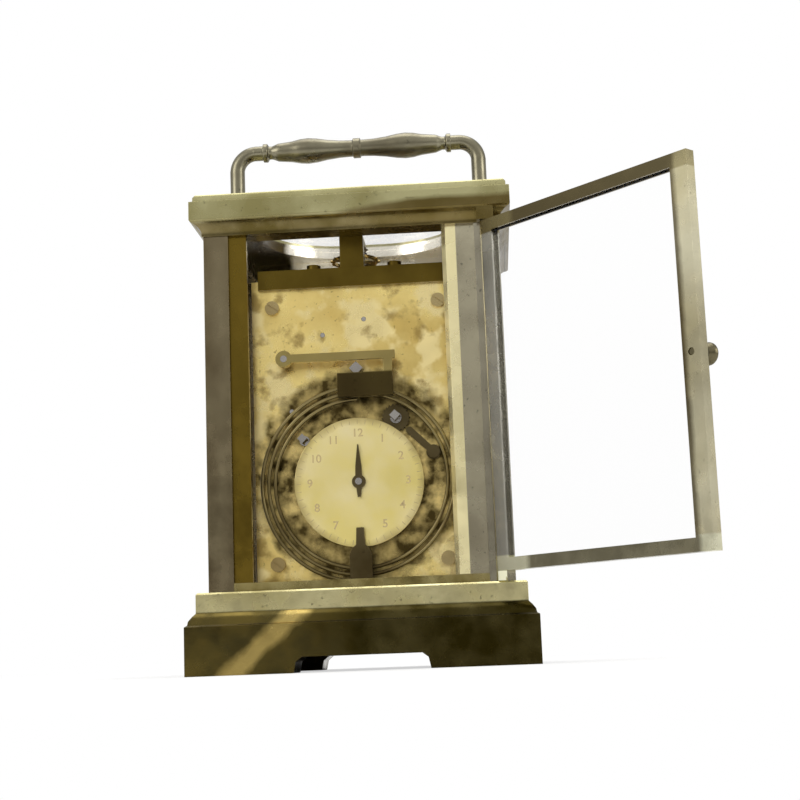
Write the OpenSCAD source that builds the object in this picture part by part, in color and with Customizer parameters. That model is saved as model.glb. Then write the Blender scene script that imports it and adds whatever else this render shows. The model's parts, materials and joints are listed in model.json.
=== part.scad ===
// Travelling alarm clock with a glazed brass case, a folding handle and a lever movement.
// Millimetres. The origin is the middle of the plane its four feet stand on.
// +Z is up, -Y is the door side and +Y is the dial side.

/* [Case] */
// Width of the body across the posts
body_width = 79; // [70:1:90]
// Depth of the body across the posts
body_depth = 64; // [56:1:74]
// Side of each square corner post
post_size = 6.6; // [5:0.1:9]
// Height of the base's top face above the floor
base_height = 21; // [16:0.5:26]
// Height of the base's wide lower block
block_height = 15.8; // [10:0.2:18]
// How far the lower block stands out beyond the body
block_overhang = 5.5; // [3:0.5:9]
// How far the upper step of the base stands out beyond the body
step_overhang = 2.9; // [2.8:0.1:4]
// Height of the arch between two feet
arch_height = 4; // [2:0.5:7]
// Width of each bracket foot
foot_width = 27.5; // [18:0.5:34]
// Clear height between base and cap
opening_height = 94.8; // [90:0.2:104]
// Height of the cap
cap_height = 11.2; // [9:0.2:16]
// How far the cap stands out beyond the body
cap_overhang = 3.3; // [2.8:0.1:6]
// Thickness of the cap's walls, in from the faces of the body
cap_wall = 6.6; // [6:0.1:9]
// Thickness of the side and front panes
pane = 1.8; // [1.2:0.1:2.2]

/* [Door] */
// Width of the door
door_width = 69.6; // [66:0.2:74]
// Thickness of the door frame
door_thickness = 2.8; // [2:0.1:3]
// Width of the door's rails
rail_width = 3.2; // [2.8:0.2:6]
// Width of the door's stiles
stile_width = 5; // [4.8:0.2:8]
// Height of the sill under the door
sill_height = 2.2; // [1.8:0.1:4]
// Angle the door stands open at rest
door_open = 134; // [0:0.2:150]
// Diameter of the door's pivot pins
pin_dia = 1.2; // [0.8:0.1:1.6]

/* [Handle] */
// Distance between the middles of the two handle arms
arm_spacing = 70.4; // [60:0.2:76]
// Thickness of the handle arms
arm_dia = 4.2; // [3:0.1:5]
// Height of the grip's centreline above the pivots
grip_rise = 18; // [15:0.5:30]
// Largest diameter of the grip
grip_dia = 7.4; // [6:0.2:9.6]

/* [Movement] */
// Width of the movement plates
plate_width = 56; // [51:0.5:60]
// Height of the movement plates
plate_height = 82; // [82:0.5:88]
// Thickness of the movement plates
plate_thick = 2; // [1.5:0.1:2.2]
// Clear distance between the plates
plate_gap = 28.2; // [28:0.2:30]
// Teeth on the going barrel
barrel_teeth = 72; // [72:12:72]
// Leaves on the centre pinion
centre_leaves = 12; // [12:1:12]
// Teeth on the centre wheel
centre_teeth = 80; // [80:8:80]
// Teeth on the third wheel
third_teeth = 75; // [75:5:75]
// Leaves on the third and contrate pinions
train_leaves = 10; // [10:1:10]
// Crown teeth on the contrate wheel
contrate_teeth = 64; // [64:8:64]
// Leaves on the escape pinion
escape_leaves = 8; // [8:1:8]
// Outside radius of the balance
balance_r = 6.4; // [5:0.1:6.8]

/* [Alarm] */
// Radius of the alarm setting disc
disc_r = 17; // [14:0.5:17]
// Outer radius of the coiled gong
gong_r = 25.8; // [25:0.1:26]
// Diameter of the gong's wire
gong_wire = 1; // [0.8:0.05:1.1]
// Distance from one turn of the gong to the next
gong_pitch = 1.75; // [1.6:0.05:1.8]
// Teeth on the alarm barrel
alarm_teeth = 60; // [60:4:60]

/* [Part] */
// Gap left round each running pivot
running = 0.05; // [0.02:0.01:0.09]
// Part to show

/* [Hidden] */
$fn = 96;

brass = [0.72, 0.55, 0.25];
gilt = [0.86, 0.68, 0.33];
steel = [0.42, 0.43, 0.46];
blued = [0.12, 0.14, 0.25];
clear_glass = [0.8, 0.9, 0.92, 0.35];
enamel = [0.94, 0.93, 0.88];

// Case heights and faces
half_w = body_width / 2;
half_d = body_depth / 2;
cap_z = base_height + opening_height;
top_z = cap_z + cap_height;
ceiling_z = top_z - 4.4;
post_in_x = half_w - post_size;
post_in_y = half_d - post_size;
fit_gap = 0.3;
groove_deep = 1.5;
glass_in_x = half_w - 2.4 - pane;
glass_in_y = half_d - 2.4 - pane;
oval_r = 22;
oval_shift = 5.5;

// Door
hinge_x = half_w - 3.5;
hinge_y = -half_d - 0.2 - door_thickness / 2;
door_z = base_height + sill_height + fit_gap;
door_height = cap_z - fit_gap - door_z;
pin_r = pin_dia / 2;
pin_deep = 2;
stile_end = door_width - door_thickness / 2;
stile_in = stile_width - door_thickness / 2;
stile_out = stile_end - stile_width;
knob_x = stile_end - stile_width / 2;
knob_z = base_height + opening_height / 2;

// Handle
pivot_z = top_z + 4.6;
grip_z = pivot_z + grip_rise;
arm_r = arm_dia / 2;
shoulder_r = 5.6;
stud_r = 1.1;
handle_post_x = arm_spacing / 2 - 4;
handle_post_r = 1.5;
handle_pin_r = 0.95;
lap = 0.4;

// Movement plates, one behind the dial and one behind the door
back_y = -24.2;
back_in = back_y + plate_thick;
front_in = back_in + plate_gap;
front_y = front_in + plate_thick;
plate_z = 22.6;
plate_top = plate_z + plate_height;
pillar_x = 22.4;
pillar_low = 28;
pillar_high = 97;
pillar_r = 2.2;
pivot_r = 0.6;
seat_r = pivot_r + running;
screw_r = 1;
screw_hole_r = screw_r + 0.1;
screw_head_r = 1.9;
slot_w = 0.5;

// Radii of the arbors, each with a bore or hole that runs on it
barrel_core_r = 1.5;
barrel_front_r = 1;
centre_r = 1;
click_r = 0.85;
alarm_core_r = 1.3;
alarm_front_r = 0.9;
hammer_arbor_r = 0.9;
setting_r = 0.9;
strike_r = 0.75;
fine_r = 0.35;

// Train centres, each as [x, z]
going_module = 0.4;
train_module = 0.3;
third_module = 0.28;
centre_at = [0, 79];
barrel_at = [10, 65.5];
click_at = [19.6, 56];
ratchet_r = 3.9;
third_at = [-9, 89.062];
contrate_at = [2.25, 92.937];
contrate_r = 8;
contrate_y = -3.9;
crown_h = 0.55;
crown_w = 1.1;

// Platform and escapement
platform_z = plate_top;
platform_thick = 2.6;
platform_top = platform_z + platform_thick;
platform_lip = 2.6;
escape_r = 4.2;
escape_at = [contrate_at[0], -2.55];
pallet_at = [1.1, -7.4];
balance_at = [-0.4, -13.8];
escape_z = platform_top + 1.4;
balance_z = platform_top + 4.2;
cock_z = balance_z + 3.2;

// Alarm work
alarm_at = [0, 48.4];
alarm_barrel_at = [-14.5, 60.4];
alarm_module = 0.26;
strike_at = [-17.8, 68.6];
hammer_at = [-19, 82];
strike_leaves = 8;
gong_y = -26.7;
disc_y = -28.5;
wire_r = gong_wire / 2;

// Dial side
motion_y = front_y + 1;
dial_y = front_y + 8.5;
dial_thick = 1.2;
hands_y = dial_y + dial_thick + 0.7;
motion_module = 0.25;
hour_module = 0.24;
minute_at = [4.243, 74.757];

// Local +z laid along +Y, starting at y
module on_y(at, y) {
  translate([at[0], y, at[1]]) rotate([-90, 0, 0]) children();
}

// Round bar along +Y from y0 to y1
module bar_y(at, y0, y1, r) {
  on_y(at, y0) cylinder(h = y1 - y0, r = r);
}

module block(x0, x1, y0, y1, z0, z1) {
  translate([x0, y0, z0]) cube([x1 - x0, y1 - y0, z1 - z0]);
}

// Flat toothed outline: n teeth of the given module, turned by a degrees
module teeth(n, m, a, add = 0.8, ded = 1.1) {
  r_tip = n * m / 2 + add * m;
  r_root = n * m / 2 - ded * m;
  pitch = 360 / n;
  polygon([for (i = [0:n - 1]) for (k = [[-0.25, r_root], [-0.075, r_tip], [0.075, r_tip], [0.25, r_root]])
    [k[1] * cos(a + (i + k[0]) * pitch), k[1] * sin(a + (i + k[0]) * pitch)]]);
}

// Flat wheel: toothed rim, spokes and hub, bored to fit its arbor
module wheel(n, m, a, rim, hub, bore, spokes, thick) {
  r_in = n * m / 2 - 1.1 * m - rim;
  linear_extrude(thick) {
    difference() {
      teeth(n, m, a);
      circle(r = r_in);
    }
    difference() {
      union() {
        circle(r = hub);
        for (i = [0:spokes - 1])
          rotate(i * 360 / spokes + 20) translate([0, -0.55]) square([r_in + rim / 2, 1.1]);
      }
      circle(r = bore);
    }
  }
}

// Angle, in the wheel's own plane, of the line from one centre to another
function bearing(from, to) = -atan2(to[1] - from[1], to[0] - from[0]);

// ---- Case ----

// Block with one moulded profile run round all four sides and mitred at the corners
module moulding(points, hx, hy) {
  intersection() {
    rotate([90, 0, 0]) linear_extrude(2 * hy + 40, center = true)
      polygon(concat([for (p = points) [hx + p[0], p[1]]],
        [for (i = [len(points) - 1:-1:0]) [-hx - points[i][0], points[i][1]]]));
    rotate([90, 0, 90]) linear_extrude(2 * hx + 40, center = true)
      polygon(concat([for (p = points) [hy + p[0], p[1]]],
        [for (i = [len(points) - 1:-1:0]) [-hy - points[i][0], points[i][1]]]));
  }
}

module base() {
  out = block_overhang;
  step = step_overhang;
  color(brass) difference() {
    moulding([[out, 0], [out, block_height - 3.4], [out - 0.7, block_height - 3],
      [out - 0.9, block_height - 2], [out - 1.8, block_height - 0.8], [step, block_height],
      [step, base_height - 0.5], [step - 0.4, base_height]], half_w, half_d);
    block(-post_in_x + 1, post_in_x - 1, -post_in_y + 1, post_in_y - 1, -1, base_height - 2.5);
    block(-30, 30, -24, 24, base_height - 3, base_height + 1);
    for (s = [0, 1]) mirror([s, 0, 0]) translate([0, 0, -1])
      rotate([90, 0, 90]) linear_extrude(half_w + 10) arch(half_d + out - foot_width + 4);
    for (s = [0, 1]) mirror([0, s, 0]) translate([0, 0, -1])
      rotate([90, 0, 180]) linear_extrude(half_d + 10) arch(half_w + out - foot_width);
    for (sx = [-1, 1]) for (sy = [-1, 1]) {
      translate([sx * (half_w - post_size / 2), sy * (half_d - post_size / 2), -1]) {
        cylinder(h = base_height + 2, r = 1.25);
        cylinder(h = base_height - 7, r = 2.6);
      }
    }
    translate([hinge_x, hinge_y, base_height - pin_deep - 0.2]) cylinder(h = 4, r = pin_r + running);
  }
}

// Opening under one side of the base, between its two feet
module arch(w) {
  polygon([[-w, 0], [w, 0], [w - 0.8, arch_height - 0.2], [w - 2.4, arch_height + 1],
    [-w + 2.4, arch_height + 1], [-w + 0.8, arch_height - 0.2]]);
}

module bottom_plate() {
  color(brass) difference() {
    block(-29.8, 29.8, -23.8, 23.8, base_height - 2.5, base_height);
    for (x = [-12, 12]) translate([x, 0, 0]) cylinder(h = 60, r = 1.6);
  }
}

module case_posts() {
  color(brass) for (sx = [0, 1]) for (sy = [0, 1]) mirror([sx, 0, 0]) mirror([0, sy, 0]) difference() {
    union() {
      block(post_in_x, half_w, post_in_y, half_d, base_height, cap_z);
      for (z = [base_height - 5, cap_z])
        translate([half_w - post_size / 2, half_d - post_size / 2, z]) cylinder(h = 5, r = 1.2);
    }
    block(glass_in_x - 0.1, glass_in_x + pane + 0.1, post_in_y - 1, post_in_y + groove_deep,
      base_height - 1, cap_z + 1);
    block(post_in_x - 1, post_in_x + groove_deep, glass_in_y - 0.1, glass_in_y + pane + 0.1,
      base_height - 1, cap_z + 1);
  }
}

module oval(r) {
  for (s = [-1, 1]) translate([s * oval_shift, 0]) circle(r = r);
  square([2 * oval_shift, 2 * r], center = true);
}

module cap() {
  out = cap_overhang;
  color(brass) difference() {
    moulding([[0.4, cap_z], [0.4, cap_z + 1], [0.9, cap_z + 2.2], [1.9, cap_z + 3.1],
      [out - 0.5, cap_z + 3.5], [out, cap_z + 4], [out, top_z - 2.2], [out - 0.9, top_z - 1.8],
      [out - 0.9, top_z - 0.9],
      [out - 1.5, top_z]], half_w, half_d);
    block(-half_w + cap_wall, half_w - cap_wall, -half_d + cap_wall, half_d - cap_wall,
      cap_z - 1, ceiling_z);
    translate([0, 0, cap_z]) linear_extrude(40) oval(oval_r);
    translate([0, 0, top_z - 2.4]) linear_extrude(10) oval(oval_r + 1.5);
    for (sx = [-1, 1]) for (sy = [-1, 1])
      translate([sx * (half_w - post_size / 2), sy * (half_d - post_size / 2), cap_z - 1])
        cylinder(h = 6.2, r = 1.25);
    for (s = [-1, 1]) translate([s * handle_post_x, 0, top_z - 3])
      cylinder(h = 4, r = handle_pin_r + running);
  }
  color(brass) difference() {
    block(hinge_x - 2.2, hinge_x + 2.2, hinge_y - 1.4, -half_d + 1, cap_z, cap_z + 4.2);
    translate([hinge_x, hinge_y, cap_z - 1]) cylinder(h = pin_deep + 0.8, r = pin_r + running);
  }
}

module top_glass() {
  color(clear_glass) translate([0, 0, top_z - 2.4]) linear_extrude(1.8) oval(oval_r + 1.4);
}

module side_glasses() {
  y = post_in_y + groove_deep - 0.2;
  color(clear_glass) for (s = [0, 1]) mirror([s, 0, 0])
    block(glass_in_x, glass_in_x + pane, -y, y, base_height, cap_z);
}

module front_glass() {
  x = post_in_x + groove_deep - 0.2;
  color(clear_glass) block(-x, x, glass_in_y, glass_in_y + pane, base_height, cap_z);
}

module rear_jambs() {
  y = -half_d + 1;
  color(brass) {
    block(-post_in_x, -post_in_x + 4.8, y, y + 1.6, base_height, cap_z);
    block(28, post_in_x, y, y + 1.6, base_height, cap_z);
    block(-post_in_x, post_in_x, -half_d, y + 0.05, base_height, base_height + sill_height);
    difference() {
      block(24.2, 28, y, y + 2.6, base_height, cap_z);
      translate([24.2, y, base_height - 1]) rotate(45) cube([1.6, 1.6, 400], center = true);
    }
  }
}

// ---- Door ----

// The door is drawn shut and then swung open about its pins
module swung() {
  translate([hinge_x, hinge_y, 0]) rotate(180 + door_open) children();
}

module door_frame() {
  t = door_thickness;
  color(brass) swung() {
    difference() {
      union() {
        block(0, stile_end, -t / 2, t / 2, door_z, door_z + door_height);
        translate([0, 0, door_z]) cylinder(h = door_height, r = t / 2);
      }
      block(stile_in, stile_out, -t, t, door_z + rail_width, door_z + door_height - rail_width);
      block(stile_in - 1, stile_out + 1, -0.95, 0.95, door_z + rail_width - 1,
        door_z + door_height - rail_width + 1);
      translate([knob_x, 0, knob_z]) rotate([90, 0, 0]) cylinder(h = 9, r = 0.9, center = true);
    }
    translate([0, 0, base_height - pin_deep]) cylinder(h = door_z - base_height + pin_deep, r = pin_r);
    translate([0, 0, base_height + 0.1]) cylinder(h = door_z - base_height - 0.1, r = t / 2);
    translate([0, 0, door_z + door_height]) cylinder(h = pin_deep - fit_gap, r = pin_r);
  }
}

module door_glass() {
  color(clear_glass) swung() block(stile_in - 0.8, stile_out + 0.8, -0.85, 0.85,
    door_z + rail_width - 0.8, door_z + door_height - rail_width + 0.8);
}

// Round turned knob with its stem in the stile
module door_knob() {
  t = door_thickness / 2;
  color(brass) swung() translate([knob_x, 0, knob_z]) rotate([-90, 0, 0]) {
    translate([0, 0, -t + 0.2]) cylinder(h = 2 * t - 0.2, r = 0.85);
    translate([0, 0, t]) cylinder(h = 0.6, r = 2.3);
    translate([0, 0, t + 0.6]) cylinder(h = 0.9, r = 1.2);
    translate([0, 0, t + 1.5]) cylinder(h = 1.6, r1 = 1.6, r2 = 2.7);
    translate([0, 0, t + 3.1]) cylinder(h = 0.5, r = 2.7);
    translate([0, 0, t + 3.6]) cylinder(h = 0.6, r1 = 2.7, r2 = 1.4);
  }
}

// ---- Handle ----

module handle_arms() {
  x = arm_spacing / 2;
  color(brass) for (s = [0, 1]) mirror([s, 0, 0]) difference() {
    union() {
      translate([x - arm_r + 0.2, 0, pivot_z]) rotate([0, 90, 0]) cylinder(h = arm_dia - 0.4, r = 3);
      translate([x, 0, pivot_z + 2]) cylinder(h = grip_rise - shoulder_r - 2 + lap, r = arm_r + 0.03);
      translate([x - shoulder_r, 0, grip_z - shoulder_r]) rotate([90, 0, 0])
        rotate_extrude(angle = 90) translate([shoulder_r, 0]) circle(r = arm_r);
      translate([x - shoulder_r - 2.2, 0, grip_z]) rotate([0, 90, 0])
        cylinder(h = 2.2 + lap, r = arm_r + 0.03);
    }
    translate([0, 0, pivot_z]) rotate([0, 90, 0]) cylinder(h = 60, r = stud_r + running);
  }
}

module handle_grip() {
  e = arm_spacing / 2 - shoulder_r - 2.2;
  r = grip_dia / 2;
  color(brass) translate([0, 0, grip_z]) rotate([0, 90, 0]) rotate_extrude() polygon([
    [0, -e], [2.7, -e], [2.7, -e + 1.2], [1.9, -e + 1.7], [1.9, -e + 2.6], [2.6, -e + 4.4],
    [r - 0.7, -19], [r - 0.2, -16.6], [r, -14.2], [r - 0.25, -11.6], [r - 0.8, -8.6], [r - 1.2, -5],
    [r - 1.3, -2.2], [r - 1.3, -1.2], [r - 0.8, -1], [r - 0.8, 1], [r - 1.3, 1.2], [r - 1.3, 2.2],
    [r - 1.2, 5], [r - 0.8, 8.6], [r - 0.25, 11.6], [r, 14.2], [r - 0.2, 16.6], [r - 0.7, 19],
    [2.6, e - 4.4], [1.9, e - 2.6], [1.9, e - 1.7], [2.7, e - 1.2], [2.7, e], [0, e]]);
}

// Turned posts on the cap; each has a stud that the arm turns on, held by a round head
module handle_posts() {
  x = arm_spacing / 2 - arm_r;
  color(brass) for (s = [0, 1]) mirror([s, 0, 0]) {
    translate([handle_post_x, 0, top_z - 3]) cylinder(h = 3, r = handle_pin_r);
    translate([handle_post_x, 0, top_z]) cylinder(h = 1.2, r = handle_post_r + 0.25);
    translate([handle_post_x, 0, top_z]) cylinder(h = pivot_z - top_z, r = handle_post_r);
    translate([handle_post_x, 0, pivot_z]) sphere(r = handle_post_r + 0.25);
    translate([handle_post_x, 0, pivot_z]) rotate([0, 90, 0])
      cylinder(h = x + arm_dia + 0.4 - handle_post_x, r = stud_r);
    translate([x + arm_dia + 0.3, 0, pivot_z]) rotate([0, 90, 0]) cylinder(h = 1, r = 2.1);
  }
}

// ---- Movement plates ----

module plate_holes(y, list) {
  for (h = list) on_y([h[0], h[1]], y) cylinder(h = plate_thick + 2, r = h[2]);
}

module back_plate() {
  color(gilt) difference() {
    block(-plate_width / 2, plate_width / 2, back_y, back_in, plate_z, plate_top);
    plate_holes(back_y - 1, [
      [centre_at[0], centre_at[1], centre_r + running], [third_at[0], third_at[1], seat_r],
      [contrate_at[0], contrate_at[1], seat_r], [barrel_at[0], barrel_at[1], barrel_core_r + running],
      [alarm_barrel_at[0], alarm_barrel_at[1], alarm_core_r + running], [strike_at[0], strike_at[1], seat_r],
      [hammer_at[0], hammer_at[1], hammer_arbor_r + running],
      [alarm_at[0], alarm_at[1], setting_r + running], [click_at[0], click_at[1], click_r + running]]);
    for (x = [-pillar_x, pillar_x]) for (z = [pillar_low, pillar_high])
      on_y([x, z], back_y - 1) cylinder(h = 5, r = screw_hole_r);
  }
}

module front_plate() {
  color(gilt) difference() {
    block(-plate_width / 2, plate_width / 2, front_in, front_y, plate_z, plate_top);
    plate_holes(front_in - 1, [
      [centre_at[0], centre_at[1], centre_r + running], [third_at[0], third_at[1], seat_r],
      [contrate_at[0], contrate_at[1], seat_r], [barrel_at[0], barrel_at[1], barrel_front_r + running],
      [alarm_barrel_at[0], alarm_barrel_at[1], alarm_front_r + running], [strike_at[0], strike_at[1], seat_r],
      [hammer_at[0], hammer_at[1], seat_r], [alarm_at[0], alarm_at[1], setting_r + running],
      [minute_at[0], minute_at[1], seat_r]]);
    for (x = [-pillar_x, pillar_x]) for (z = [pillar_low, pillar_high])
      on_y([x, z], front_in - 1) cylinder(h = 5, r = screw_hole_r);
  }
}

module pillars() {
  color(brass) for (x = [-pillar_x, pillar_x]) for (z = [pillar_low, pillar_high]) {
    bar_y([x, z], back_in, front_in, pillar_r);
    bar_y([x, z], back_in, back_in + 2.5, 2.8);
    bar_y([x, z], front_in - 2.5, front_in, 2.8);
    bar_y([x, z], -8.6, -7.4, 2.8);
  }
  color(brass) for (x = [-12, 12]) difference() {
    block(x - 4, x + 4, back_in + 6, front_in - 6, base_height, plate_z + 3);
    translate([x, 0, base_height - 1]) cylinder(h = 4, r = 1.6);
  }
  color(brass) for (x = [-12, 12]) {
    block(x - 4, x + 4, back_in, back_in + 6, base_height, plate_z + 3);
    block(x - 4, x + 4, front_in - 6, front_in, base_height, plate_z + 3);
  }
}

// Slotted screw with its shank along +Y or -Y
module plate_screw() {
  difference() {
    translate([0, 0, -1.1]) cylinder(h = 1.1, r = screw_head_r);
    translate([-3, -slot_w / 2, -1.6]) cube([6, slot_w, 1]);
  }
  cylinder(h = plate_thick, r = screw_r);
}

module pillar_screws() {
  color(steel) for (x = [-pillar_x, pillar_x]) for (z = [pillar_low, pillar_high]) {
    on_y([x, z], back_y) rotate(35) plate_screw();
    translate([x, front_y, z]) rotate([90, 0, 0]) rotate(70) plate_screw();
  }
}

// ---- Going train ----

module going_barrel() {
  front = -2.6;
  color(brass) {
    on_y(barrel_at, -18) difference() {
      cylinder(h = 14, r = 13.4);
      translate([0, 0, 1]) cylinder(h = 12, r = 12.4);
      translate([0, 0, -1]) cylinder(h = 20, r = barrel_core_r + running);
    }
    on_y(barrel_at, -4) difference() {
      linear_extrude(front + 4) teeth(barrel_teeth, going_module, bearing(barrel_at, centre_at));
      translate([0, 0, -1]) cylinder(h = 5, r = barrel_core_r + running);
    }
  }
}

// Key end: a square on the arbor, from y0 to y1
module key_square(at, y0, y1, side, a = 45) {
  on_y(at, y0) rotate(a) translate([-side / 2, -side / 2, 0]) cube([side, side, y1 - y0]);
}

module barrel_arbor() {
  color(steel) {
    bar_y(barrel_at, -25.6, 3, barrel_core_r);
    bar_y(barrel_at, 3, front_y, barrel_front_r);
    bar_y(barrel_at, -16.6, -5.4, 3.6);
    key_square(barrel_at, -30.4, -25.6, 2);
  }
}

module ratchet_wheel() {
  n = 22;
  color(steel) on_y(barrel_at, -25.5) linear_extrude(1) difference() {
    polygon([for (i = [0:n - 1]) for (k = [[0, ratchet_r], [0.12, ratchet_r - 0.6]])
      [k[1] * cos((i + k[0]) * 360 / n), k[1] * sin((i + k[0]) * 360 / n)]]);
    circle(r = barrel_core_r);
  }
}

// Click, drawn lifted just clear of the ratchet wheel
module click() {
  reach = norm(barrel_at - click_at) - ratchet_r - 1;
  color(steel) {
    on_y(click_at, -25.5) linear_extrude(1) difference() {
      union() {
        circle(r = 1.9);
        rotate(bearing(click_at, barrel_at)) {
          translate([0, -0.9]) square([reach, 1.8]);
          translate([reach, 0]) circle(r = 0.9);
        }
      }
      circle(r = 0.9);
    }
    bar_y(click_at, -26.2, -25.5, 2 * click_r);
    bar_y(click_at, -26.2, back_in, click_r);
  }
}

module centre_arbor() {
  color(steel) {
    key_square(centre_at, -27.8, back_y - 0.6, 2.6, 45);
    bar_y(centre_at, -24.8, hands_y + 2.8, centre_r);
    on_y(centre_at, -4.6) linear_extrude(2.6)
      teeth(centre_leaves, going_module, bearing(centre_at, barrel_at) + 180 / centre_leaves);
  }
}

module centre_wheel() {
  color(brass) {
    on_y(centre_at, 1.5)
      wheel(centre_teeth, train_module, bearing(centre_at, third_at), 1.3, 2.6, 1, 4, 1.1);
    on_y(centre_at, 0.4) difference() {
      cylinder(h = 1.1, r = 2.2);
      translate([0, 0, -1]) cylinder(h = 4, r = 1);
    }
  }
}

module third_arbor() {
  color(steel) {
    bar_y(third_at, back_y, front_y, pivot_r);
    bar_y(third_at, back_in + 0.2, front_in - 0.2, 0.9);
    on_y(third_at, 0.8) linear_extrude(2.5)
      teeth(train_leaves, train_module, bearing(third_at, centre_at) + 180 / train_leaves);
  }
}

module third_wheel() {
  color(brass) on_y(third_at, -9)
    wheel(third_teeth, third_module, bearing(third_at, contrate_at), 1.1, 2.2, 0.9, 4, 1);
}

module contrate_arbor() {
  color(steel) {
    bar_y(contrate_at, back_y, front_y, pivot_r);
    bar_y(contrate_at, back_in + 0.2, front_in - 0.2, 0.8);
    on_y(contrate_at, -9.8) linear_extrude(2.6)
      teeth(train_leaves, third_module, bearing(contrate_at, third_at) + 180 / train_leaves);
  }
}

// Crown wheel: its teeth stand up from the rim towards +Y
module contrate_wheel() {
  pitch = 2 * PI * contrate_r / contrate_teeth;
  color(brass) on_y(contrate_at, contrate_y - 1.2) {
    linear_extrude(1.2) {
      difference() {
        circle(r = contrate_r + crown_w / 2);
        circle(r = contrate_r - crown_w / 2);
      }
      difference() {
        union() {
          circle(r = 2);
          for (i = [0:3]) rotate(i * 90 + 45) translate([0, -0.5]) square([contrate_r - 0.3, 1]);
        }
        circle(r = 0.8);
      }
    }
    for (i = [0:contrate_teeth - 1]) rotate(-90 + i * 360 / contrate_teeth)
      translate([contrate_r - crown_w / 2 + 0.05, 0, 1.19]) rotate([90, 0, 90]) linear_extrude(crown_w - 0.12)
        polygon([[-pitch * 0.24, 0], [pitch * 0.24, 0], [pitch * 0.07, crown_h + 0.01],
          [-pitch * 0.07, crown_h + 0.01]]);
  }
}

// ---- Platform and lever escapement ----

module platform() {
  color(gilt) difference() {
    union() {
      block(-26, 26, back_y - 1.4, front_y, platform_z, platform_top);
      block(-26, 26, back_y - 1.4, back_y - 0.1, platform_z - platform_lip, platform_z + 0.5);
      // Bracket below for the escape arbor's foot, and bridge above for its head
      block(escape_at[0] - 1.4, escape_at[0] + 1.4, 0.4, 2.6, 96.8, platform_z + 0.5);
      block(escape_at[0] - 1.4, escape_at[0] + 1.4, -3.2, 2.6, 96.8, 98.2);
      block(escape_at[0] - 1.6, escape_at[0] + 1.6, 3, 6.4, platform_top - 0.5, 112);
      block(escape_at[0] - 1.6, escape_at[0] + 1.6, -3.8, 6.4, 110.6, 112);
    }
    translate([escape_at[0], escape_at[1], 90]) cylinder(h = 30, r = fine_r + running);
    translate([escape_at[0], escape_at[1], platform_z - 1]) cylinder(h = 5, r = 1.3);
    for (p = [pallet_at, balance_at])
      translate([p[0], p[1], platform_z - 1]) cylinder(h = 5, r = fine_r + running);
  }
  color(steel) for (x = [-11, 11]) for (y = [back_y + 1, front_y - 1])
    translate([x, y, platform_top]) difference() {
      cylinder(h = 1.3, r = screw_head_r);
      rotate(x + y) translate([-3, -slot_w / 2, 0.8]) cube([6, slot_w, 1]);
    }
}

module escape_arbor() {
  color(steel) translate([escape_at[0], escape_at[1], 0]) {
    translate([0, 0, 96.9]) cylinder(h = 15, r = fine_r);
    translate([0, 0, 98.5]) cylinder(h = 11.8, r = 0.55);
    translate([0, 0, 99.4]) linear_extrude(4)
      teeth(escape_leaves, motion_module, -90 + 180 / escape_leaves);
  }
}

module escape_wheel() {
  n = 15;
  color(brass) translate([escape_at[0], escape_at[1], escape_z]) linear_extrude(0.5) {
    difference() {
      union() {
        circle(r = 3.1);
        for (i = [0:n - 1]) rotate(i * 24)
          polygon([[2.8, -0.5], [3.5, -0.35], [escape_r, 0.25], [escape_r - 0.1, 0.42], [3.1, 0.45]]);
      }
      circle(r = 2.4);
    }
    difference() {
      union() {
        circle(r = 1.1);
        for (i = [0:3]) rotate(i * 90) translate([0, -0.25]) square([2.6, 0.5]);
      }
      circle(r = 0.55);
    }
  }
}

// Lever with two pallet arms clear of the wheel and a fork clear of the impulse pin
module lever() {
  a = atan2(balance_at[1] - pallet_at[1], balance_at[0] - pallet_at[0]);
  reach = norm(balance_at - pallet_at);
  color(steel) translate([pallet_at[0], pallet_at[1], 0]) {
    translate([0, 0, platform_z + 0.2]) cylinder(h = 5.6, r = fine_r);
    translate([0, 0, platform_top + 0.2]) cylinder(h = 2.4, r = 0.7);
    translate([0, 0, escape_z - 0.1]) linear_extrude(0.7) rotate(a) {
      circle(r = 0.7);
      translate([0, -0.3]) square([reach - 3, 0.6]);
      translate([reach - 3.4, -0.84]) square([0.8, 1.68]);
      for (s = [-1, 1]) {
        translate([reach - 3.1, s * 0.62 - 0.22]) square([1.5, 0.44]);
        rotate(s * 108) translate([0, -0.25]) square([3.3, 0.5]);
        rotate(s * 108) translate([2.9, -s * 0.2]) square([0.4, 0.55], center = true);
      }
    }
  }
}

module balance() {
  color(brass) translate([balance_at[0], balance_at[1], balance_z]) linear_extrude(0.8) {
    difference() {
      circle(r = balance_r);
      circle(r = balance_r - 0.8);
    }
    difference() {
      union() {
        circle(r = 1.3);
        rotate(25) square([2 * balance_r - 1, 0.9], center = true);
      }
      circle(r = 0.5);
    }
  }
  color(brass) translate([balance_at[0], balance_at[1], balance_z + 0.4])
    for (i = [0:11]) rotate(i * 30 + 10) rotate([0, 90, 0])
      translate([0, 0, balance_r - 0.2]) cylinder(h = 0.7, r = 0.36);
}

module balance_staff() {
  color(steel) translate([balance_at[0], balance_at[1], 0]) {
    translate([0, 0, platform_z + 0.3]) cylinder(h = cock_z + 1.2 - platform_z - 0.3, r = fine_r);
    translate([0, 0, platform_top + 0.3]) cylinder(h = cock_z - platform_top - 0.6, r = 0.5);
    translate([0, 0, escape_z + 1.2]) cylinder(h = 0.7, r = 1.7);
    rotate(atan2(pallet_at[1] - balance_at[1], pallet_at[0] - balance_at[0]))
      translate([1.3, 0, escape_z - 0.1]) cylinder(h = 1.4, r = 0.22);
  }
}

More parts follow.
